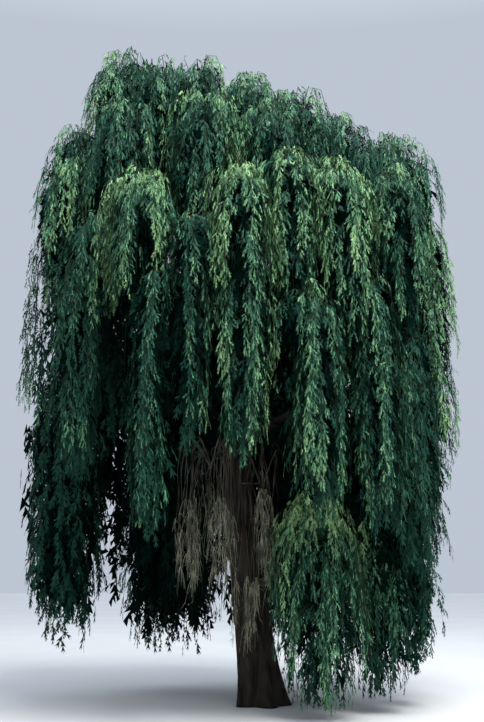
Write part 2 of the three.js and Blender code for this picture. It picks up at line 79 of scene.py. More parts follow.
# The last column is where it leaves the trunk, for a drape whose limb that is.
HANGING = ("limb", "at", "top", "foot", "half", "leaves")
DRAPES = table(HANGING, {
    "summit_left": ("trunk", (-2.01, -0.4), 8.32, 6.75, 0.54, 7.1),
    "summit_middle": ("trunk", (-1.48, -0.62), 8.12, 6.6, 0.48, 6.7),
    "summit_front": ("trunk", (-0.9, -0.96), 8, 6.65, 0.52, 7.38),
    "summit_right": ("trunk", (-0.06, -0.86), 7.82, 6.6, 0.52, 7.26),
    "summit_far_right": ("trunk", (0.76, -0.38), 7.76, 6.5, 0.56, 6.95),
    "summit_back_right": ("trunk", (0.1, 0.82), 7.9, 6.3, 0.72, 7.03),
    "summit_back_left": ("trunk", (-1.45, 0.75), 8.05, 6.4, 0.72, 6.85),
    "shoulder_left": ("upper_left", (-2.65, -0.15), 7.3, 5.7, 0.48),
    "shoulder_front_left": ("upper_front_left", (-1.85, -1.2), 7.2, 5.7, 0.52),
    "shoulder_front": ("upper_front", (-0.76, -1.56), 7.2, 5.5, 0.52),
    "shoulder_front_right": ("upper_front", (0.26, -1.48), 7.08, 5.5, 0.52),
    "shoulder_right": ("upper_right", (1.25, -0.92), 7.12, 5.5, 0.52),
    "shoulder_far_right": ("upper_far_right", (2.08, -0.05), 7.21, 5.6, 0.52),
    "shoulder_back_right": ("upper_far_right", (1.25, 1.25), 7.1, 5, 0.8),
    "shoulder_back": ("upper_back", (-0.35, 1.7), 7.1, 5, 0.8),
    "shoulder_back_left": ("upper_left", (-1.95, 1.2), 7.2, 5, 0.8),
    "middle_left": ("upper_front_left", (-2.56, -0.85), 6.6, 4.9, 0.44),
    "arch_left": ("middle_front_left", (-1.42, -2), 6, 4.45, 0.5),
    "long_centre": ("middle_front", (-0.22, -2.35), 6, 2.83, 0.4),
    "middle_centre": ("middle_front_right", (0.33, -1.95), 6.35, 4.1, 0.42),
    "arch_right": ("upper_right", (0.96, -1.88), 6.22, 4, 0.48),
    "middle_right": ("middle_right", (1.72, -1.15), 6.45, 4.2, 0.48),
    "middle_back": ("middle_back", (0.35, 2.1), 5.9, 3.3, 0.9),
    "middle_back_left": ("middle_back", (-1.5, 1.9), 5.9, 3.3, 0.9),
    "middle_left_back": ("middle_left", (-2.6, 0.6), 6.1, 3.5, 0.7),
    "skirt_far_left": ("middle_left", (-2.85, -0.42), 5.8, 3.45, 0.34),
    "skirt_left": ("middle_front_left", (-2.15, -1.45), 5.65, 2.75, 0.47),
    "skirt_front_left": ("low_front", (-1.25, -2.15), 4.9, 2.03, 0.33),
    "skirt_front": ("middle_front", (-0.82, -2.25), 5.5, 2.85, 0.33),
    "skirt_front_right": ("low_front", (0.62, -2.15), 4.6, 2.28, 0.46),
    "skirt_right_front": ("middle_front_right", (1.3, -1.7), 4.9, 2.08, 0.44),
    "skirt_right": ("low_right", (1.8, -1), 4.7, 1.7, 0.48),
    "skirt_far_right": ("middle_right", (2.2, -0.28), 6.1, 2.4, 0.42),
    "skirt_right_back": ("low_back_right", (2.05, 0.8), 5.6, 0.9, 0.8),
    "skirt_back": ("low_back_right", (0.5, 1.9), 4, 0.75, 0.9),
    "skirt_back_left": ("low_back_left", (-1.25, 1.8), 4, 0.7, 0.9),
    "skirt_left_back": ("low_back_left", (-2.6, 0.6), 4.5, 0.85, 0.72),
    "foot_front": ("foot_right", (0.65, -1.32), 2.28, 0.18, 0.56),
    "foot_right": ("foot_right", (1.42, -0.64), 2.1, 0.23, 0.43),
    "foot_far_right": ("low_right", (1.95, -0.15), 3.1, 0.5, 0.46),
})
DRAPE = dict(
    depth=0.78, start=0.4, start_width=0.6, narrows_from=2.4, foot_width=0.5,
    stretches=12, neighbourhood=2.6, reach=1.12,
)
SPINE = dict(crest_below_top=0.5, bend=0.85, most_of_reach=0.45, most_of_drop=0.6, stiffness=0.35, tail=0.24)
STEM = dict(
    clear=0.00035, radius=0.018, end_radius=0.005, end=2.99, points=26,
    paired_offset=0.015, paired_radius=0.0126,
)

# Hanks of dead twigs in front of the trunk.
HANKS = table(HANGING, {
    "dead_twigs_left": ("trunk", (-0.62, -1.08), 3.15, 1.25, 0.48, 3.18),
    "dead_twigs_right": ("trunk", (0.01, -0.98), 2.75, 1.2, 0.28, 2.65),
})


def mix(a, b, t):
    return a + (b - a) * t


def unit(v):
    return v / np.maximum(np.linalg.norm(v, axis=-1, keepdims=True), 1e-9)


def square(v, way):
    """The unit direction of the part of v at right angles to way."""
    return unit(v - way * (v * way).sum(-1, keepdims=True))


def level_ways(turn):
    return np.stack([np.cos(turn), np.sin(turn), 0 * turn], axis=-1)


def bezier(points, t):
    """Points and unit tangents of a Bezier curve at an array of t."""
    t = np.asarray(t, float)[:, None]
    while len(points) > 2:
        points = [mix(a, b, t) for a, b in zip(points, points[1:])]
    return mix(*points, t), unit(points[1] - points[0])


def bent(controls, t):
    """Points of many curves at once, from arrays of (curves, 3)."""
    return bezier([point[:, None] for point in controls], t)[0]


# Limbs
def trunk_axis(z):
    z = np.asarray(z, float)
    x = TRUNK["lean"] * z + TRUNK["straighten"] * z * z
    return np.stack([x, TRUNK["lean_back"] * z, z], axis=-1)


def trunk_radius(z, angle):
    taper = mix(TRUNK["radius"], TRUNK["tip_radius"], (z / TRUNK["height"]) ** TRUNK["taper"])
    flare = TRUNK["flare_radius"] * np.exp(-z / TRUNK["flare_height"])
    return taper + flare * (1 - TRUNK["buttress_depth"] * (1 - np.cos(TRUNK["buttresses"] * angle)))


def bough_points(name):
    row = BOUGHS[name]
    start = trunk_axis(row["leaves"])
    tip = np.array(row["tip"])
    middle = mix(start, tip, 0.5) + UP * BOUGH["rise"] * np.linalg.norm(tip - start)
    return start, middle, tip


class Spine:
    """What a drape grows along: 0 to 1 is its rise, 1 to 2 its bend over and 2 to 3 its hanging part."""

    def __init__(self, name, rows):
        row = rows[name]
        self.name = name
        self.top = row["top"]
        self.foot = row["foot"]
        self.half = row["half"]
        self.plan = np.array((*row["at"], 0.0))
        self.from_trunk = unit((self.plan - trunk_axis(self.foot)) * (1, 1, 0))
        root, way, self.radius = self.root_of(name, rows)
        reach = self.plan - root * (1, 1, 0)
        out = unit(reach)
        self.side = np.array((-out[1], out[0], 0.0))
        corner = self.plan + UP * (self.top - SPINE["crest_below_top"] * self.half)
        foot = self.plan + UP * (self.foot + SPINE["tail"])
        drop = corner[2] - foot[2]
        most = min(SPINE["most_of_reach"] * np.linalg.norm(reach), SPINE["most_of_drop"] * drop)
        bend = min(SPINE["bend"] * self.half, most)
        crest = corner - out * bend
        shoulder = corner - UP * bend
        straight = SPINE["stiffness"] * np.linalg.norm(crest - root)
        rise = (root, root + way * straight, crest - out * straight, crest)
        self.curves = (rise, (crest, corner, shoulder), (shoulder, foot))
        ends = np.linspace(DRAPE["start"], 3, DRAPE["stretches"] + 1)
        points = self.at(ends)[0]
        self.stretch_start = points[:-1]
        self.stretch_way = points[1:] - points[:-1]
        self.stretch_half = self.half_width((ends[1:] + ends[:-1]) / 2)

    def root_of(self, name, rows):
        row = rows[name]
        others = [r for n, r in rows.items() if n != name and r["limb"] == row["limb"]]
        tops = [np.array((*r["at"], r["top"])) for r in (row, *others)]
        if row["limb"] == "trunk":
            point = trunk_axis(row["leaves"])
            return point, unit(tops[0] - point), STEM["radius"]
        (tip,), (way,) = bezier(bough_points(row["limb"]), [1])
        point = tip + way * STEM["clear"]
        if not others:
            return point, way, STEM["radius"]
        across = [square(top - point, way) for top in tops]
        apart = unit(across[0] - across[1])
        return point + apart * STEM["paired_offset"], way, STEM["paired_radius"]

    def at(self, places):
        """Points and tangents at an array of places."""
        places = np.asarray(places, float)
        points, ways = np.zeros((2, len(places), 3))
        part = np.clip(np.floor(places), 0, 2)
        for k, curve in enumerate(self.curves):
            here = part == k
            points[here], ways[here] = bezier(curve, places[here] - k)
        return points, ways

    def around(self, places, turn):
        """Points and tangents there, and the ways out over the half width at a turn round the spine."""
        points, tangents = self.at(places)
        outward = unit(np.cross(tangents, self.side)) * DRAPE["depth"]
        return points, tangents, outward * np.cos(turn)[:, None] + self.side * np.sin(turn)[:, None]

    def half_width(self, places):
        rise = mix(DRAPE["start_width"], 1, (places - DRAPE["start"]) / (1 - DRAPE["start"]))
        tail = (places - DRAPE["narrows_from"]) / (3 - DRAPE["narrows_from"])
        tail = mix(1, DRAPE["foot_width"], np.clip(tail, 0, 1))
        return self.half * np.where(places < 1, rise, tail)

    def offsets(self, points):
        """From each stretch of the spine to the points, as vectors and over the half width there."""
        off = points[:, None] - self.stretch_start
        along = (off * self.stretch_way).sum(-1) / (self.stretch_way**2).sum(-1)
        off = off - np.clip(along, 0, 1)[..., None] * self.stretch_way
        return off, np.linalg.norm(off, axis=-1) / self.stretch_half

    def nearness(self, points):
        """How far points lie from the spine, over its half width there."""
        return self.offsets(points)[1].min(axis=1)

    def nearest(self, points):
        """The spine's own points that lie nearest."""
        off, distance = self.offsets(points)
        return points - off[np.arange(len(points)), distance.argmin(axis=1)]

    def owns(self, points, neighbours, parting=1):
        """Which points are in this drape's space and nearer to it than to its neighbours."""
        own = self.nearness(points)
        inside = own < DRAPE["reach"]
        for other in neighbours:
            inside &= other.nearness(points) * parting > own
        return inside & (points[:, 2] > self.foot)


# Meshes
def placed(name, data):
    made = bpy.data.objects.new(name, data)
    bpy.context.scene.collection.objects.link(made)
    return made


def build_piece(name, parts, materials, replaced, smooth=True):
    """One mesh of several (corners, faces, kinds), where a face's kind is the place of its material."""
    corners, faces, kinds = zip(*parts)
    starts = np.cumsum([0] + [len(some) for some in corners[:-1]])
    corners = np.concatenate(corners)
    faces = np.concatenate([some + start for some, start in zip(faces, starts)])
    kinds = np.concatenate(kinds)
    mesh = bpy.data.meshes.new(name)
    count, size = faces.shape
    mesh.vertices.add(len(corners))
    mesh.vertices.foreach_set("co", np.ascontiguousarray(corners, np.float32).ravel())
    mesh.loops.add(count * size)
    mesh.loops.foreach_set("vertex_index", np.ascontiguousarray(faces, np.int32).ravel())
    mesh.polygons.add(count)
    mesh.polygons.foreach_set("loop_start", np.arange(0, count * size, size, dtype=np.int32))
    mesh.polygons.foreach_set("material_index", np.ascontiguousarray(kinds, np.int32))
    mesh.polygons.foreach_set("use_smooth", np.full(count, smooth))
    mesh.update(calc_edges=True)
    mesh.validate()
    for surface in materials:
        mesh.materials.append(surface)
    finish_piece(placed(name, mesh), replaced)


def finish_piece(made, replaced):
    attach(made, "root")
    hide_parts(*replaced)


def ring_quads(length, sides):
    """Faces between a number of rings of corners."""
    ring = np.arange(length - 1)[:, None] * sides
    here = np.arange(sides)
    after = (here + 1) % sides
    return np.stack([ring + here, ring + after, ring + sides + after, ring + sides + here], axis=-1)


def halved(quads):
    """Two triangles for each of four corners."""
    quads = quads.reshape(-1, 4)
    return np.concatenate([quads[:, [0, 1, 2]], quads[:, [0, 2, 3]]])


def tubes(paths, radii, sides, kind=0, girths=1):
    """Twigs along paths, (twigs, points, 3), tapering between two radii and open at both ends."""
    count, length, _ = paths.shape
    radii = np.broadcast_to(np.linspace(*radii, length) * girths, (count, length))
    ways = unit(np.gradient(paths, axis=1))
    first = np.where(np.abs(ways[:, :1, 2:]) > 0.8, np.array((1.0, 0, 0)), UP)
    across = unit(np.cross(first, ways[:, :1]))[:, 0]
    angles = np.arange(sides) / sides * TURN
    rings = np.zeros((count, length, sides, 3))
    for k in range(length):
        across = square(across, ways[:, k])
        along = np.cross(ways[:, k], across)
        spokes = across[:, None] * np.cos(angles)[:, None] + along[:, None] * np.sin(angles)[:, None]
        rings[:, k] = paths[:, k, None] + spokes * radii[:, k, None, None]
    corners = rings.reshape(-1, 3)
    base = np.arange(count)[:, None, None, None] * length * sides
    faces = halved(base + ring_quads(length, sides))
    return corners, faces, np.full(len(faces), kind)


def repeated(corners, faces):
    """Many of one small mesh, from a list of where each of its corners lies on them all."""
    corners = np.stack(corners, axis=1)
    count, each, _ = corners.shape
    faces = np.arange(count)[:, None, None] * each + np.array(faces)
    return corners.reshape(-1, 3), faces.reshape(-1, 3)


def blades(roots, tips, facing, width, kind=0):
    """Short straight twigs, each a single slender triangle that tapers to its tip."""
    across = unit(np.cross(tips - roots, facing)) * width / 2
    return *repeated([roots - across, roots + across, tips], [(0, 1, 2)]), np.full(len(roots), kind)


# Sprays: a comb of needle-like teeth on both sides of a drooping rib.
COMB = dict(
    rib=(0.0, 0.36, 0.7),
    teeth=(1.0, 0.78),  # how wide each pair of teeth reaches, over the spray's half width
    gains=(-0.07, 0.03, 0.14),  # how much younger each pair of teeth is, and the tip
    grain=0.14,
)
TOOTH = dict(forward=0.5, tip_width=0.22, droop=0.16, curl=0.22)
# Where the shades above deep begin, by brightness.
LIMITS = (0.27, 0.52, 0.86)


def combs(roots, ways, facing, lengths, half_widths, scores, rng):
    """Sprays of two triangles for each pair of teeth and one for the tip."""
    across = unit(np.cross(ways, facing))
    face = np.cross(across, ways)
    rib = COMB["rib"]
    pairs = len(COMB["teeth"])

    def point(v, u, w):
        along = ways * (v * lengths)[:, None]
        droop = UP * (TOOTH["droop"] * v * v * lengths)[:, None]
        return roots + along - droop + across * (u * half_widths)[:, None] + face * (w * half_widths)[:, None]

    corners = [point(v, 0, 0) for v in rib]
    for i, reach in enumerate(COMB["teeth"]):
        v = rib[i + 1] + TOOTH["forward"] * (rib[i + 1] - rib[i])
        corners += [point(v, reach, -TOOTH["curl"] * reach), point(v, -reach, -TOOTH["curl"] * reach)]
    width = TOOTH["tip_width"]
    corners += [point(rib[-2], width, 0), point(rib[-2], -width, 0), point(1, 0, 0)]
    faces = []
    for i in range(pairs):
        tooth = pairs + 1 + 2 * i
        faces += [(i, i + 1, tooth), (i + 1, i, tooth + 1)]
    last = 3 * pairs + 1
    faces.append((last, last + 2, last + 1))
    gains = np.array([g for g in COMB["gains"][:-1] for _ in range(2)] + [COMB["gains"][-1]])
    gains = gains + rng.normal(0, COMB["grain"], (len(roots), len(gains)))
    kinds = 1 + np.searchsorted(LIMITS, (scores[:, None] + gains).ravel())
    return *repeated(corners, faces), kinds


# Materials
SHINE = 0.06


def node_of(tree, kind, **inputs):
    made = tree.nodes.new("ShaderNode" + kind)
    for name, value in inputs.items():
        made.inputs[name].default_value = value
    return made


def link(tree, source, output, target, name):
    tree.links.new(source.outputs[output], target.inputs[name])


def material(name, dark, light, roughness, scale, stretch=(1, 1, 1), bump=0.0, bump_scale=1.0, shine=SHINE):
    """A plain colour that drifts between two shades by procedural noise, with a fine relief where a bump is
    given.
    """
    made = bpy.data.materials.new(name)
    made.use_nodes = True
    tree = made.node_tree
    shader = tree.nodes["Principled BSDF"]
    shader.inputs["Roughness"].default_value = roughness
    shader.inputs["Specular IOR Level"].default_value = shine
    place = node_of(tree, "TexCoord")
    mapping = node_of(tree, "Mapping", Scale=stretch)
    link(tree, place, "Object", mapping, "Vector")
    noise = node_of(tree, "TexNoise", Scale=scale, Detail=3.0)
    link(tree, mapping, "Vector", noise, "Vector")
    ramp = node_of(tree, "ValToRGB")
    for stop, position, shade in zip(ramp.color_ramp.elements, (0.35, 0.65), (dark, light)):
        stop.position = position
        stop.color = (*shade, 1)
    link(tree, noise, "Fac", ramp, "Fac")
    link(tree, ramp, "Color", shader, "Base Color")
    if bump:
        fine = node_of(tree, "TexNoise", Scale=scale * bump_scale, Detail=4.0)
        link(tree, mapping, "Vector", fine, "Vector")
        relief = node_of(tree, "Bump", Strength=bump, Distance=0.01)
        link(tree, fine, "Fac", relief, "Height")
        link(tree, relief, "Normal", shader, "Normal")
    return made


# Shades of needle, from the near-black inside, which is painted shade, through deep, middle and light, which
# are dealt out by brightness partly as painted shade and painted light, to the newest yellow-green at the
# arch heads, which is new growth and painted highlight. Each drifts a little.
SHADES = {
    "inner": (0.0016, 0.008, 0.006),
    "deep": (0.0095, 0.0435, 0.0285),
    "middle": (0.033, 0.103, 0.058),
    "light": (0.102, 0.21, 0.1),
    "young": (0.185, 0.31, 0.132),
}
DRIFT = (0.7, 1.35)
NEEDLES = []
for shade, colour in SHADES.items():
    darker, lighter = (tuple(drift * c for c in colour) for drift in DRIFT)
    shine = 0 if shade == "inner" else SHINE
    NEEDLES.append(material("needles_" + shade, darker, lighter, 0.55, 9.0, shine=shine))
# The near-black needles, painted shade, come first.
INNER_SHADE = 0
BARK = material("bark", (0.011, 0.009, 0.0075), (0.04, 0.033, 0.027), 0.9, 14.0, (1, 1, 0.22), 0.9, 4.0)
TWIG = material("twig_bark", (0.012, 0.018, 0.011), (0.031, 0.042, 0.023), 0.85, 30.0)
# Dead stems, arms and strands take the darker colour, which on the strands is partly painted shade.
DEAD_LIMB = material("dead_limb", (0.02, 0.019, 0.015), (0.1, 0.092, 0.072), 0.85, 5.0)
DEAD_TWIG = material("dead_twig", (0.055, 0.06, 0.045), (0.32, 0.315, 0.22), 0.85, 7.0)


# Bark relief: wandering ridges round a limb, closed round its girth.
RIDGES = ((9, 0.9, 0.42), (16, 1.7, 0.33), (27, 3.1, 0.25))  # how many, how fast they wander, their share


def bark_relief(z, angle, rng):
    total = np.zeros(np.broadcast(z, angle).shape)
    for count, pace, share in RIDGES:
        phase = rng.uniform(0, TURN, 4)
        wander = 0.9 * np.sin(pace * 2.1 * z + phase[0]) + 0.7 * np.sin(pace * 5.3 * z + phase[1] + 2 * angle)
        ridge = 1 - np.abs(np.sin(count * angle + wander + phase[2]))
        breaks = 0.65 + 0.35 * np.sin(pace * 11 * z + 3 * angle + phase[3])
        total += share * ridge * breaks
    return total


BARK_DEPTH = dict(foot=0.016, top=0.005, bough=0.006)
BARK_MIDDLE = dict(trunk=0.45, bough=0.5)  # the relief that lies on the limb's own surface
TRUNK_ROWS = np.concatenate([np.arange(0, 3.2, 0.034), np.arange(3.2, 7.44, 0.12), [TRUNK["height"]]])
TRUNK_SIDES = 80


def ringed(rings):
    """A closed skin over rings of points, an array of (rings, sides, 3)."""
    length, sides, _ = rings.shape
    corners = np.concatenate([rings.reshape(-1, 3), [rings[0].mean(axis=0), rings[-1].mean(axis=0)]])
    here = np.arange(sides)
    after = (here + 1) % sides
    last = (length - 1) * sides
    start = np.stack([after, here, np.full(sides, length * sides)], axis=-1)
    end = np.stack([last + here, last + after, np.full(sides, length * sides + 1)], axis=-1)
    faces = np.concatenate([halved(ring_quads(length, sides)), start, end])
    return corners, faces, np.zeros(len(faces))


def build_trunk():
    rng = np.random.default_rng(SEED)
    z = TRUNK_ROWS[:, None]
    angle = np.arange(TRUNK_SIDES)[None] / TRUNK_SIDES * TURN
    depth = mix(BARK_DEPTH["foot"], BARK_DEPTH["top"], z / TRUNK["height"])
    radius = trunk_radius(z, angle) + depth * (bark_relief(z, angle, rng) - BARK_MIDDLE["trunk"])
    rings = trunk_axis(TRUNK_ROWS)[:, None] + level_ways(angle) * radius[..., None]
    build_piece("bark_trunk", [ringed(rings)], [BARK], ["trunk"])


def frames(ways):
    """Directions across a path, carried along it without twist."""
    across = unit(np.cross(np.array((0.31, 0.83, 0.46)), ways[0]))
    out = []
    for way in ways:
        across = square(across, way)
        out.append((across, np.cross(way, across)))
    return np.array(out).swapaxes(0, 1)


BOUGH_SIDES = 16
BOUGH_STEP = 0.04
LEAST_ROWS = 8


def build_bough(name, rng):
    controls = bough_points(name)
    length = np.linalg.norm(controls[2] - controls[0])
    t = np.linspace(0, 1, max(LEAST_ROWS, int(length / BOUGH_STEP)))
    points, ways = bezier(controls, t)
    across, along = frames(ways)
    angle = np.arange(BOUGH_SIDES) / BOUGH_SIDES * TURN
    first = BOUGH["radius"] + BOUGH["radius_per_length"] * length
    radius = mix(first, BOUGH["tip_radius"], t**BOUGH["taper"])[:, None]
    relief = bark_relief(t[:, None] * length * 2, angle[None], rng) - BARK_MIDDLE["bough"]
    radius = radius + BARK_DEPTH["bough"] * relief
    rings = points[:, None] + across[:, None] * (np.cos(angle) * radius)[..., None]
    rings = rings + along[:, None] * (np.sin(angle) * radius)[..., None]
    build_piece("bark_bough_" + name, [ringed(rings)], [BARK], ["bough_" + name])


# Foliage: branches in columns round each spine, which arch out and hang in tiers over each other.
COLUMN = dict(
    start=0.72,
    end=2.9,
    places=160,
    crest=(0.8, 1.9),  # the places between which the tiers stand closer, by crest_density
    crest_density=1.7,
    crest_fold=0.95,
    crest_parting=1.35,
    hanging_from=2,  # from here back to crest_until the crest's values take over
    crest_until=1.2,
    jitter=0.18,  # how far a column strays round the spine, over the columns' spacing
    pairing=0.2,  # how far it stands towards one of its neighbours
    stray=0.16,  # how far a branch strays from its column
    tier_stray=0.45,
    hidden=-0.3,  # a branch that points this far back towards the trunk is hidden
    hang=(0.5, 1.25),
    tries=((1, 1), (0.8, 1), (1, 0.7), (0.65, 0.8), (0.5, 0.5)),  # shares of the reach and of the hang
    points=5,
)
# A branch that starts upwards goes on along the spine and scatters. It lifts by this line over its rise.
RAISED = dict(onward=0.6, scatter=0.45, lift=(0.66, 0.3), crest_lift=(0.4, 0.95))
# Its curve's controls, this far out over its reach and up over its lift. The shoulder is also this far down
# its drop, on a hanging branch and at the crest.
KNEE = dict(out=0.6, up=1.55)
SHOULDER = dict(out=1.04, up=0.9, down=(0.32, 0.17))
END = dict(up=0.6, sway=0.03)
# Twigs leave alternate sides of a branch, and sprays those of a twig, the last one less than the others.
TWIG_WAY = dict(along=0.55, side=(0.15, 0.8), out=(-0.1, 0.7), lean=0.2, droop=0.36, most_rise=0.35, last=0.2)
SPRAY_WAY = dict(along=0.6, side=(0.1, 0.6), lean=0.22, droop=0.55, most_rise=0.0, last=0.15)
# Their lengths by where on the branch they are, as a line, and its bare start over the half width.
LENGTHS = dict(twig=(-0.45, 1.1), spray=(-0.3, 1.08), varied=(0.65, 1.3))
BARE = dict(start=0.2, raised=0.9)
# A twig leaves a branch every so far, with so many sprays of that length and half width over length. Columns
# stand a spacing apart. A branch arches out by the half width times its column's fold and its own reach, less
# a margin, and a set_back away from the trunk. It ends nearer to its spine than to others' by its parting.
FINE = dict(
    every=0.054, twig=0.08, sprays=3, length=0.095, width=0.18,
    spacing=0.22, tier=0.3, fold=(0.66, 1.06), reach=(0.92, 1.02), margin=0.03, set_back=0, parting=0.8,
)
BROAD = dict(
    every=0.12, twig=0.13, sprays=4, length=0.13, width=0.22,
    spacing=0.31, tier=0.36, fold=(0.84, 1.06), reach=(0.94, 1.06), margin=0.03, set_back=0.15, parting=1,
)
# Hidden sprays, which point back towards the trunk, are darker by their tone: painted shade inside the drape.
HIDDEN = dict(every=0.17, twig=0.17, sprays=3, length=0.18, width=0.24, tone=-0.25)
CLOSE = dict(spacing=0.2, tier=0.28, fold=(0.94, 1.1))  # for the foot, which is denser
BROAD_HALF = 0.65
SHOWN_BACKS = ("summit_back_right", "summit_back_left")  # broad, but fine, as their heads show
BRANCH_RADII = (0.0055, 0.0018)
TWIG_WIDTH = 0.006
CLEAR_OF_GROUND = 0.03

# How much brighter or darker a drape's needles are than by its place alone: in part painted light and shade,
# lighter where a drape lies in more light and darker where it lies in shade.
TONES = {
    "summit_back_right": -0.05, "summit_back_left": -0.05,
    "shoulder_left": -0.12, "shoulder_front_left": -0.18, "shoulder_front_right": -0.07,
    "shoulder_right": -0.3, "shoulder_far_right": -0.12,
    "middle_left": 0.08, "middle_centre": 0.34, "middle_right": 0.07,
    "middle_back": 0.05, "middle_back_left": 0.05, "middle_left_back": -0.16,
    "arch_left": 0.28, "arch_right": 0.37, "long_centre": 0.33,
    "skirt_far_left": 0.16, "skirt_left": -0.21, "skirt_front_left": 0.06, "skirt_front": 0.1,
    "skirt_front_right": 0.26, "skirt_right_front": 0.1, "skirt_right": -0.03, "skirt_far_right": 0.4,
    "skirt_back": 0.16, "skirt_back_left": 0.1, "skirt_left_back": -0.42, "skirt_right_back": 0.02,
    "foot_front": 0.53, "foot_right": 0.24, "foot_far_right": 0.1,
}
# How much younger and lighter they are at the crests, where not by SHADING's crest: new growth, and a painted
# highlight where the light from above falls.
CREST_GAINS = {"summit": 0.17, "arch": 0.31, "long": 0.52, "skirt": 0.14, "foot": 1.0}
# Drapes that the photo shows thin against the sky, and the share of their branches that stay.
OPENNESS = {"skirt_far_left": 0.55, "middle_left": 0.8}


def region(x, z, stay, back=9):
    """A box from far in front to the back, and the share of the branches ending there that stay."""
    return dict(low=(x[0], -9, z[0]), high=(x[1], back, z[1]), stay=stay)


# Where the crown's edge is thin too.
THINNED = (
    region((-2.9, -2.66), (4.0, 5.4), 0.12),
    region((-9, -2.75), (3.4, 6.3), 0.45),
    region((2.02, 9), (0, 2.3), 0.2),
    region((2.15, 9), (2.3, 3), 0.25),
    region((2.32, 9), (3, 4.2), 0.4),
)
# The dark gaps in its front.
GAPS = (
    region((-1.78, -1.46), (2.2, 4.15), 0.1, -0.9),
    region((-1.08, -0.86), (2.3, 4.6), 0.08, -1.3),
    region((-1.97, -1.78), (2.5, 3.5), 0.1, -0.9),
    region((-0.86, -0.63), (2.3, 3.1), 0.15, -1.3),
    region((0.17, 0.34), (2.9, 4.45), 0.1, -1.5),
    region((0.86, 0.96), (3.2, 4.1), 0.2, -1.2),
    region((1.42, 1.58), (3.0, 4.5), 0.1, -0.6),
)


def neighbours_of(spine, spines):
    others = (s for s in spines if s is not spine)
    return [s for s in others if np.linalg.norm(s.plan - spine.plan) < DRAPE["neighbourhood"]]


def in_box(points, box):
    return ((points > box["low"]) & (points < box["high"])).all(axis=1)


def staying(points, boxes, rng):
    """Which points stay where the photo shows the foliage thinned."""
    stay = np.ones(len(points))
    for box in boxes:
        stay[in_box(points, box)] = box["stay"]
    return rng.random(len(points)) < stay


def size_of(spine):
    size = BROAD if spine.half > BROAD_HALF and spine.name not in SHOWN_BACKS else FINE
    return size | CLOSE if spine.name.startswith("foot") else size


def branches_of(spine, neighbours, rng):
    """Paths of the branches of a drape, (branches, points, 3), with what twigs_of needs of each."""
    size = size_of(spine)
    places = np.linspace(COLUMN["start"], COLUMN["end"], COLUMN["places"])
    points, _ = spine.at(places)
    first, last = COLUMN["crest"]
    dense = np.where((places > first) & (places < last), COLUMN["crest_density"], 1)[1:]
    run = np.concatenate([[0], np.cumsum(dense * np.linalg.norm(np.diff(points, axis=0), axis=1))])
    tiers = max(3, round(run[-1] / size["tier"]))
    girth = math.pi * (1 + DRAPE["depth"]) * spine.half
    columns = max(5, round(girth / size["spacing"]))
    tier, column = (a.ravel() for a in np.meshgrid(np.arange(tiers), np.arange(columns), indexing="ij"))
    shift = COLUMN["jitter"] * rng.uniform(-1, 1, columns) + COLUMN["pairing"] * (-1.0) ** np.arange(columns)
    turn = rng.uniform(0, TURN) + (column + shift[column]) / columns * TURN
    turn = turn + COLUMN["stray"] * rng.uniform(-1, 1, len(turn)) / columns * TURN
    where = (tier + 0.5 + COLUMN["tier_stray"] * rng.uniform(-1, 1, len(tier))) / tiers
    place = np.interp(np.clip(where, 0, 1) * run[-1], run, places)
    early = (COLUMN["hanging_from"] - place) / (COLUMN["hanging_from"] - COLUMN["crest_until"])
    early = np.clip(early, 0, 1)
    fold = mix(rng.uniform(*size["fold"], columns)[column], COLUMN["crest_fold"], early)
    parting = mix(size["parting"], COLUMN["crest_parting"], early)
    keep = rng.random(len(place)) < OPENNESS.get(spine.name, 1)
    place, turn, early, fold, parting = (a[keep] for a in (place, turn, early, fold, parting))
    start, tangent, way = spine.around(place, turn)
    half = spine.half_width(place)
    raised = np.maximum(way[:, 2], 0)
    level = way * (1, 1, 0) + tangent * (1, 1, 0) * (RAISED["onward"] * raised)[:, None]
    level = level + spine.side * (raised * rng.normal(0, RAISED["scatter"], len(place)))[:, None]
    away = unit(level) @ spine.from_trunk
    reach = half * fold * rng.uniform(*size["reach"], len(place)) - size["margin"]
    reach = reach - size["set_back"] * np.maximum(away, 0)
    hang = rng.uniform(*COLUMN["hang"], len(place)) * (0.75 + 0.5 * half)
    sway = rng.normal(0, END["sway"], (len(place), 3)) * (1, 1, 0)
    lifted = mix(np.polyval(RAISED["lift"], raised), np.polyval(RAISED["crest_lift"], raised), early)
    t = np.linspace(0, 1, COLUMN["points"]) ** 0.85
    best = np.zeros((len(place), COLUMN["points"], 3))
    found = np.zeros(len(place), bool)
    for out_share, hang_share in COLUMN["tries"]:
        out = level * (reach * out_share)[:, None]
        lift = UP * (lifted * reach * out_share)[:, None]
        drop = UP * (hang * hang_share)[:, None]
        knee = start + out * KNEE["out"] + lift * KNEE["up"]
        shoulder = start + out * SHOULDER["out"] + lift * SHOULDER["up"]
        shoulder = shoulder - drop * mix(*SHOULDER["down"], early)[:, None]
        end = start + out + lift * END["up"] - drop + sway
        path = bent((start, knee, shoulder, end), t)
        good = ~found & spine.owns(path[:, -1], neighbours, parting)
        good &= spine.owns(path[:, COLUMN["points"] // 2], neighbours)
        best[good] = path[good]
        found |= good
    found &= staying(best[:, -1], THINNED + GAPS, rng)
    return best[found], half[found], raised[found], away[found] < COLUMN["hidden"]


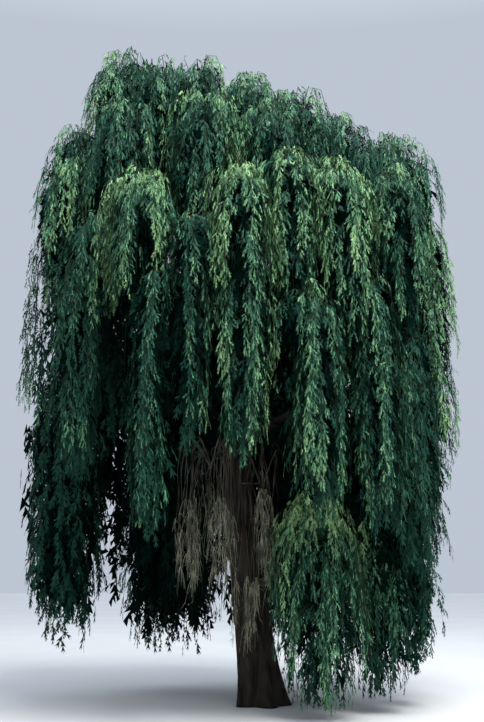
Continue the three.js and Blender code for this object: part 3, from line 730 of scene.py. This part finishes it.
def twigs_of(spine, paths, half, raised, size, rng):
    """Twigs along the branches and the sprays on them."""
    lengths = np.linalg.norm(np.diff(paths, axis=1), axis=2)
    run = np.concatenate([np.zeros((len(paths), 1)), np.cumsum(lengths, axis=1)], axis=1)
    bare = BARE["start"] * half * (1 - BARE["raised"] * raised)
    count = np.maximum(3, ((run[:, -1] - bare) / size["every"]).astype(int))
    owner = np.repeat(np.arange(len(paths)), count)
    order = np.arange(len(owner)) - np.repeat(np.cumsum(count) - count, count)
    share = (order + rng.uniform(0, 1, len(order))) / count[owner]
    share[order == count[owner] - 1] = 1
    at = bare[owner] + share * (run[owner, -1] - bare[owner])
    segment = np.clip((run[owner] <= at[:, None]).sum(axis=1) - 1, 0, paths.shape[1] - 2)
    local = np.clip((at - run[owner, segment]) / lengths[owner, segment], 0, 1)
    root = mix(paths[owner, segment], paths[owner, segment + 1], local[:, None])
    way = unit(paths[owner, segment + 1] - paths[owner, segment])
    out = square(unit((root - spine.nearest(root)) + 1e-4), way)
    last = np.where(share == 1, TWIG_WAY["last"], 1.0)[:, None]
    aim = sideways(way, out, order, TWIG_WAY, last, rng)
    length = size["twig"] * rng.uniform(*LENGTHS["varied"], len(root)) * np.polyval(LENGTHS["twig"], share)

    # The sprays, the last one at the twig's tip
    each = size["sprays"]
    twig = np.repeat(np.arange(len(root)), each)
    number = np.tile(np.arange(each), len(root))
    along = (number + 0.6) / (each - 0.4)
    droop = TWIG_WAY["droop"]
    bow = UP * (droop * along**2 * length[twig])[:, None]
    spray_root = root[twig] + aim[twig] * (along * length[twig])[:, None] - bow
    spray_way = unit(aim[twig] - UP * (2 * droop * along)[:, None])
    across = square(out[twig] + UP * 0.3, spray_way)
    tip = np.where(number == each - 1, SPRAY_WAY["last"], 1.0)[:, None]
    spray_aim = sideways(spray_way, across, number + order[twig], SPRAY_WAY, tip, rng)
    facing = unit(across + rng.normal(0, 0.35, across.shape) + UP * 0.3)
    spray_length = size["length"] * rng.uniform(*LENGTHS["varied"], len(twig))
    spray_length = spray_length * np.polyval(LENGTHS["spray"], share[twig])
    end = root + aim * (0.85 * length)[:, None] - UP * (droop * 0.72 * length)[:, None]
    return root, end, out, owner, twig, along, spray_root, spray_aim, facing, spray_length, share[twig]


def sideways(way, out, order, spread, last, rng):
    """Ways to alternate sides of a limb, leaning out and drooping."""
    side = np.cross(way, out) * np.where(order % 2 == 0, 1, -1)[:, None]
    aim = way * spread["along"] + side * last * rng.uniform(*spread["side"], len(way))[:, None]
    if "out" in spread:
        aim = aim + out * last * rng.uniform(*spread["out"], len(way))[:, None]
    aim = aim + rng.normal(0, spread["lean"], way.shape) * last - UP * spread["droop"]
    aim[:, 2] = np.minimum(aim[:, 2], spread["most_rise"])
    return unit(aim)


# A plainer comb of two broad teeth a side: how far along, aside and down its corners lie.
BROAD_SPRAY = dict(
    rib=((0, 0, 0), (0.4, 0, 0), (0.72, 0, 0.05), (1, 0, 0.16)),
    teeth=((0.5, 1, 0.1), (0.5, -1, 0.1), (0.8, 0.75, 0.16), (0.8, -0.75, 0.16)),
    faces=((0, 1, 4), (1, 0, 5), (1, 2, 6), (2, 1, 7), (2, 3, 6)),
)


def broad_sprays(roots, ways, facing, lengths, half_widths):
    """Plain near-black combs for the inside, as painted shade."""
    across = unit(np.cross(ways, facing))

    def point(v, u, back):
        along = ways * (v * lengths)[:, None]
        return roots + along - UP * (back * lengths)[:, None] + across * (u * half_widths)[:, None]

    corners = [point(*place) for place in BROAD_SPRAY["rib"] + BROAD_SPRAY["teeth"]]
    corners, faces = repeated(corners, BROAD_SPRAY["faces"])
    return corners, faces, np.full(len(faces), INNER_SHADE)


# A needle's brightness, which picks its shade: more towards the outside, the top and a branch's end, and less
# near the ground and on the side of its drape that faces the trunk. The outside, the top, the crest and the
# ground are painted light and painted shade; the trunk's side is painted shade and older needles, the crest
# also new growth.
SHADING = dict(
    base=0.4, outer=1.25, outer_from=0.8, most_outer=1.02,
    height=0.055, height_from=5.8, low=0.12, low_from=4.4,
    trunk_side=0.25, crest=0.22, crest_depth=0.38, along_branch=0.14, along_twig=0.08,
    grain=0.05, branch_grain=0.085, twig_grain=0.05,
)


def brightness(spine, root, share, rng):
    outer = np.minimum(spine.nearness(root), SHADING["most_outer"]) - SHADING["outer_from"]
    tone = TONES.get(spine.name, 0) + SHADING["outer"] * outer
    tone += SHADING["height"] * (root[:, 2] - SHADING["height_from"])
    tone += SHADING["low"] * np.minimum(root[:, 2] - SHADING["low_from"], 0)
    tone -= SHADING["trunk_side"] * np.clip((spine.plan - root) @ spine.from_trunk / spine.half, 0, 1)
    crest = np.exp(-np.maximum(spine.top - root[:, 2], 0) / SHADING["crest_depth"])
    gain = CREST_GAINS.get(spine.name.split("_")[0], SHADING["crest"])
    tone += gain * crest + SHADING["along_branch"] * (share - 0.5)
    return SHADING["base"] + tone + rng.normal(0, SHADING["grain"], len(root))


# Near-black sprays inside a drape, painted shade that also closes it to the light, and more of them where a
# broad drape hangs.
CORE = dict(per_area=130, places=(0.8, 2.85), out=0.4, length=0.3, width=0.26)
BROAD_CORE = dict(per_area=300, places=(1.5, 2.9), out=1.05, length=0.3, width=0.26)
MOST_OUT = dict(away=0.78, inwards=1.06)  # on the side away from the trunk, and towards it
INNER_CLEAR = 0.08  # how high above the ground they end
INNER_VARIED = (0.7, 1.2)


def inner_shade_sprays(spine, neighbours, core, rng):
    length = np.linalg.norm(spine.stretch_way, axis=1).sum()
    count = int(core["per_area"] * length * spine.half * OPENNESS.get(spine.name, 1) ** 2)
    place = rng.uniform(*core["places"], count)
    start, _, way = spine.around(place, rng.uniform(0, TURN, count))
    out = core["out"] * np.sqrt(rng.uniform(0, 1, count))
    root = start + way * (spine.half_width(place) * out)[:, None]
    aim = unit(way * 0.2 - UP * 0.9 + rng.normal(0, 0.25, (count, 3)))
    lengths = core["length"] * rng.uniform(*INNER_VARIED, count)
    tip = root + aim * lengths[:, None]
    most = np.where(unit(way * (1, 1, 0)) @ spine.from_trunk > 0, MOST_OUT["away"], MOST_OUT["inwards"])
    good = spine.owns(tip, neighbours) & (spine.nearness(tip) < most) & (spine.nearness(root) < most)
    for box in THINNED:
        good &= ~in_box(tip, box)
    good &= tip[:, 2] > INNER_CLEAR
    facing = unit(way + rng.normal(0, 0.4, (count, 3)))
    return broad_sprays(*(a[good] for a in (root, aim, facing, lengths, lengths * core["width"])))


# Twigs that hang inside the crown, from the boughs and from the stems up to their crests, with near-black
# sprays on them that are painted shade. They are long and many from some boughs, and so many a metre, and
# closer, on the stems that those boughs carry.
CURTAIN = dict(
    per_metre=7, aside=0.5, fall=(0.7, 1.8), sprays=14, length=0.25, width=0.26,
    points=4, from_share=0.15, pressed=1.15, radii=(0.005, 0.002), sprays_from=0.08, scatter=0.45,
)
LONG_CURTAIN = CURTAIN | dict(per_metre=26, aside=0.62, fall=(1.3, 2.8), sprays=32, length=0.24, width=0.32)
LONG_FROM = {"low_back_left": 34, "low_back_right": 30, "middle_back": 14, "low_right": 14}
LONG_ASIDE = 0.45
BROAD_CURTAIN = dict(per_metre=14, long_per_metre=22, aside=0.9, places=(1, 2.35), above=0.2)
LIMB_POINTS = 12
LOWEST = 0.5
LEAST_LEAVES = 2.0  # a bough that leaves the trunk lower than this has none
CLEARING = dict(low=(-1.15, -9, 0), high=(0.45, 0.05, 3.15))  # where the dead twigs hang


def curtain(limb, lowest, size, rng, away=None):
    """Twigs and near-black sprays of painted shade that hang from an array of points along a limb, on all its
    sides or but one.
    """
    metres = np.linalg.norm(np.diff(limb, axis=0), axis=1)
    count = max(2, int(size["per_metre"] * metres.sum()))
    run = np.concatenate([[0], np.cumsum(metres)])
    at = rng.uniform(size["from_share"], 1, count) * run[-1]
    root = np.stack([np.interp(at, run, limb[:, k]) for k in range(3)], axis=-1)
    aside = level_ways(rng.uniform(0, TURN, count))
    if away is not None:
        aside = aside - away * (size["pressed"] * np.maximum(aside @ away, 0))[:, None]
    aside = aside * size["aside"] * np.sqrt(rng.uniform(0, 1, count))[:, None]
    fall = np.minimum(rng.uniform(*size["fall"], count), root[:, 2] - lowest)[:, None]

    def at_share(share, which):
        return root[which] + aside[which] * (1 - (1 - share) ** 2) - UP * fall[which] * share**1.3

    every = np.arange(count)
    paths = np.stack([at_share(s, every) for s in np.linspace(0, 1, size["points"])], axis=1)
    owner = np.repeat(every, size["sprays"])
    spray_root = at_share(rng.uniform(size["sprays_from"], 1, (len(owner), 1)), owner)
    aim = unit(rng.normal(0, size["scatter"], (len(owner), 3)) - UP)
    lengths = size["length"] * rng.uniform(*INNER_VARIED, len(owner))
    tips = spray_root + aim * lengths[:, None]
    clear = ~in_box(tips, CLEARING) & (tips[:, 2] > lowest)
    facing = unit(rng.normal(0, 1, (len(owner), 3)) * (1, 1, 0.3))
    needles = broad_sprays(*(a[clear] for a in (spray_root, aim, facing, lengths, lengths * size["width"])))
    paths = paths[~in_box(paths[:, -1], CLEARING)]
    return needles, tubes(paths, size["radii"], 3)


def grow_sprays(spine, branches, chosen, size, rng):
    """The sprays and the short twigs of a drape's chosen branches."""
    grown = twigs_of(spine, *(a[chosen] for a in branches), size, rng)
    twig_root, twig_end, twig_out, owner, twig, along, root, aim, facing, length, share = grown
    score = brightness(spine, root, share, rng) + SHADING["along_twig"] * (along - 0.5) + size.get("tone", 0)
    score = score + rng.normal(0, SHADING["branch_grain"], len(chosen))[owner][twig]
    score = score + rng.normal(0, SHADING["twig_grain"], len(owner))[twig]
    kept = root[:, 2] + (np.minimum(aim[:, 2], 0) - 0.35) * length > CLEAR_OF_GROUND
    grown = (a[kept] for a in (root, aim, facing, length, length * size["width"], score))
    return combs(*grown, rng), blades(twig_root, twig_end, twig_out, TWIG_WIDTH)


def curtains_of(spine, hung, rng):
    """What hangs from a drape's stem, from its bough unless that is in hung, and inside a broad drape."""
    lowest = max(LOWEST, spine.foot)
    limb = DRAPES[spine.name]["limb"]
    long = limb in LONG_FROM
    on_stem = LONG_CURTAIN | dict(per_metre=LONG_FROM[limb], aside=LONG_ASIDE) if long else CURTAIN
    stem, _ = spine.at(np.linspace(0, 1, LIMB_POINTS))
    made = [curtain(stem, lowest, on_stem, rng)]
    if limb in BOUGHS and BOUGHS[limb]["leaves"] > LEAST_LEAVES and limb not in hung:
        hung.add(limb)
        points, _ = bezier(bough_points(limb), np.linspace(0, 1, LIMB_POINTS))
        made.append(curtain(points, lowest, LONG_CURTAIN if long else CURTAIN, rng))
    if spine.half > BROAD_HALF:
        per_metre = BROAD_CURTAIN["long_per_metre" if long else "per_metre"]
        inside = CURTAIN | dict(per_metre=per_metre, aside=BROAD_CURTAIN["aside"] * spine.half)
        points, _ = spine.at(np.linspace(*BROAD_CURTAIN["places"], LIMB_POINTS))
        made.append(curtain(points, lowest + BROAD_CURTAIN["above"], inside, rng, spine.from_trunk))
    return made


def piece_of(name):
    """Which joined piece a drape goes to."""
    words = name.split("_")
    tier = "middle" if words[0] in ("long", "arch") else words[0]
    return tier + "_back" if "back" in words and tier != "summit" else tier


def build_foliage():
    spines = [Spine(name, DRAPES) for name in DRAPES]
    pieces = {}
    hung = set()
    for index, spine in enumerate(spines):
        rng = np.random.default_rng([SEED, index])
        neighbours = neighbours_of(spine, spines)
        piece = pieces.setdefault(piece_of(spine.name), dict(needles=[], twigs=[], nodes=[]))
        piece["nodes"].append("foliage_" + spine.name)
        *branches, hidden = branches_of(spine, neighbours, rng)
        grown = [
            grow_sprays(spine, branches, ~hidden, size_of(spine), rng),
            grow_sprays(spine, branches, hidden, HIDDEN, rng),
        ]
        for core in (CORE, BROAD_CORE) if spine.half > BROAD_HALF else (CORE,):
            grown.append((inner_shade_sprays(spine, neighbours, core, rng), None))
        grown += curtains_of(spine, hung, rng)
        piece["needles"] += [needles for needles, _ in grown]
        piece["twigs"] += [twigs for _, twigs in grown if twigs is not None]
        piece["twigs"].append(tubes(branches[0], BRANCH_RADII, 3))
        stem, _ = spine.at(np.linspace(0, STEM["end"], STEM["points"]))
        piece["twigs"].append(tubes(stem[None], (spine.radius, STEM["end_radius"]), 6))
    for name, piece in pieces.items():
        build_piece("needles_" + name, piece["needles"], NEEDLES, piece["nodes"], smooth=False)
        build_piece("twigs_" + name, piece["twigs"], [TWIG], piece["nodes"])


# Dead twigs: bare strands that fall from the hanks' stems in tufts, with finer ones from a top to a foot.
DEAD = dict(
    strands=9, points=14, side_twigs=130, side_points=4, side_length=(0.08, 0.34), side_spread=(0.05, 0.32),
    twiglets=420, twiglet_width=0.004, twiglet_length=(0.04, 0.13), arm_rise=0.08, arm_stray=0.04,
    stem_radii=(0.009, 0.004), arm_radii=(0.009, 0.005), radii=(0.004, 0.0022), side_radii=(0.0028, 0.0014),
    stem_points=30, arm_points=12, thickness=(0.5, 1.8), wave=0.018,
)
ARM_HEIGHTS = {"dead_twigs_left": 3.18, "dead_twigs_right": 3.02}
TUFT = ("at", "top", "foot", "half", "bushy")
TUFTS = {
    "dead_twigs_left": (
        ((-0.86, -1.1), 2.42, 1.66, 0.1, 1),
        ((-0.68, -0.98), 2.85, 1.8, 0.1, 0.2),
        ((-0.5, -1.14), 2.45, 1.45, 0.12, 1),
        ((-0.35, -0.95), 2.3, 1.6, 0.06, 0.5),
        ((-1.0, -1.0), 2.2, 1.7, 0.05, 0.25),
    ),
    "dead_twigs_right": (
        ((0.0, -1.04), 2.55, 1.3, 0.1, 1.1),
        ((-0.2, -0.9), 1.6, 0.85, 0.14, 1),
        ((0.13, -0.92), 2.25, 1.55, 0.05, 0.4),
    ),
}


def build_tuft(spine, tuft, arm_height, rng):
    plan = np.array((*tuft["at"], 0.0))
    stem, _ = spine.at(np.linspace(0.4, 1.6, DEAD["stem_points"]))
    start = stem[np.linalg.norm((stem - plan) * (1, 1, 0), axis=1).argmin()]
    end = plan + UP * arm_height + rng.normal(0, DEAD["arm_stray"], 3)
    rows = DEAD["arm_points"]
    arm, _ = bezier((start, mix(start, end, 0.5) + UP * DEAD["arm_rise"], end), np.linspace(0, 1, rows))
    parts = [tubes(arm[None], DEAD["arm_radii"], 5)]
    count = DEAD["strands"]
    root = arm[rng.integers(3, rows, count)]
    out = level_ways(rng.uniform(0, TURN, count)) * tuft["half"]
    out = out * np.sqrt(rng.uniform(0.05, 1, count))[:, None]
    below = mix(root, plan, rng.uniform(0.2, 1, (count, 1))) * (1, 1, 0) + out
    foot = rng.uniform(tuft["foot"] - 0.1, mix(tuft["foot"], tuft["top"], 0.5), (count, 1))
    top = root[:, 2:]
    over = mix(root, below, 0.6) * (1, 1, 0) + UP * (top - 0.03)
    high = below + UP * mix(top, foot, 0.35)
    share = np.linspace(0, 1, DEAD["points"])[:, None]
    paths = bent((root, over, high, below + UP * foot), share[:, 0])
    wave = rng.normal(0, 1, (count, 3, 3)) * (1, 1, 0.2)
    for k in range(3):
        paths = paths + wave[:, k, None] * (DEAD["wave"] / (k + 1)) * np.sin((k + 1) * 2.4 * math.pi * share)
    parts.append(tubes(paths, DEAD["radii"], 3, girths=rng.uniform(*DEAD["thickness"], count)[:, None]))
    bushy = np.argwhere(paths[:, :, 2] < tuft["top"])
    owner, segment = bushy[rng.integers(0, len(bushy), int(DEAD["side_twigs"] * tuft["bushy"]))].T
    root = paths[owner, segment]
    side = unit(rng.normal(0, 1, (len(owner), 3)) * (1, 1, 0.2))[:, None]
    length = rng.uniform(*DEAD["side_length"], len(owner))[:, None, None]
    spread = rng.uniform(*DEAD["side_spread"], len(owner))[:, None, None]
    share = np.linspace(0, 1, DEAD["side_points"])[:, None]
    twigs = root[:, None] + side * length * spread * np.sqrt(share) - UP * length * share
    parts.append(tubes(twigs, DEAD["side_radii"], 3, 1))
    count = int(DEAD["twiglets"] * tuft["bushy"])
    root = twigs[rng.integers(0, len(owner), count), rng.integers(0, DEAD["side_points"], count)]
    aim = unit(rng.normal(0, 0.5, (count, 3)) - UP) * rng.uniform(*DEAD["twiglet_length"], (count, 1))
    parts.append(blades(root, root + aim, rng.normal(0, 1, (count, 3)), DEAD["twiglet_width"], 1))
    return parts


def build_hank(name, index):
    rng = np.random.default_rng([SEED, 900 + index])
    spine = Spine(name, HANKS)
    stem, _ = spine.at(np.linspace(0, 2.6, DEAD["stem_points"]))
    parts = [tubes(stem[None], DEAD["stem_radii"], 5)]
    for tuft in TUFTS[name]:
        parts += build_tuft(spine, dict(zip(TUFT, tuft)), ARM_HEIGHTS[name], rng)
    build_piece("bare_" + name, parts, [DEAD_LIMB, DEAD_TWIG], [name])


build_trunk()
limb_rng = np.random.default_rng([SEED, 7])
for bough in BOUGHS:
    build_bough(bough, limb_rng)
build_foliage()
for hank_index, hank in enumerate(HANKS):
    build_hank(hank, hank_index)

# Stage: a pale floor under a sky that is brighter overhead, with one broad soft light above and in front.
FLOOR = 60
FLOOR_CORNERS = ((-1, -1), (1, -1), (1, 1), (-1, 1))
floor_mesh = bpy.data.meshes.new("floor")
floor_mesh.from_pydata([(x * FLOOR, y * FLOOR, 0) for x, y in FLOOR_CORNERS], [], [(0, 1, 2, 3)])
floor = placed("floor", floor_mesh)
floor_mesh.materials.append(material("floor", (0.5, 0.5, 0.49), (0.53, 0.53, 0.52), 0.9, 0.5))

# The sky's strength grows from this height on a unit sphere to the top.
SKY = dict(colour=(0.72, 0.8, 0.92, 1), strength={"From Min": 0.5, "To Min": 0.7, "To Max": 2.6})
KEY = dict(place=(3.5, -7, 18), aim=(-0.2, -0.5, 4), size=10, power=5600)
# The photo's view: eye height, distance, tilt upwards in degrees and lens, in millimetres as the sensor is.
CAMERA = dict(place=(-0.24, -12.7, 1.6), tilt=11.8, lens=49.86, sensor=36, clip=200)


def light_sky():
    world = bpy.data.worlds.new("sky")
    bpy.context.scene.world = world
    world.use_nodes = True
    tree = world.node_tree
    background = tree.nodes["Background"]
    background.inputs["Color"].default_value = SKY["colour"]
    place = node_of(tree, "TexCoord")
    height = node_of(tree, "SeparateXYZ")
    level = node_of(tree, "MapRange", **SKY["strength"])
    link(tree, place, "Generated", height, "Vector")
    link(tree, height, "Z", level, "Value")
    link(tree, level, "Result", background, "Strength")


def light_key():
    data = bpy.data.lights.new("key", "AREA")
    data.shape = "DISK"
    data.size = KEY["size"]
    data.energy = KEY["power"]
    made = placed("key", data)
    made.location = KEY["place"]
    made.rotation_mode = "QUATERNION"
    made.rotation_quaternion = (Vector(KEY["aim"]) - Vector(KEY["place"])).to_track_quat("-Z", "Y")


light_sky()
light_key()
camera_data = bpy.data.cameras.new("camera")
camera_data.sensor_width = CAMERA["sensor"]
camera_data.lens = CAMERA["lens"]
camera_data.clip_end = CAMERA["clip"]
camera = placed("camera", camera_data)
camera.location = CAMERA["place"]
camera.rotation_euler = (math.radians(90 + CAMERA["tilt"]), 0, 0)
bpy.context.scene.camera = camera

bpy.context.scene.view_settings.view_transform = "Standard"
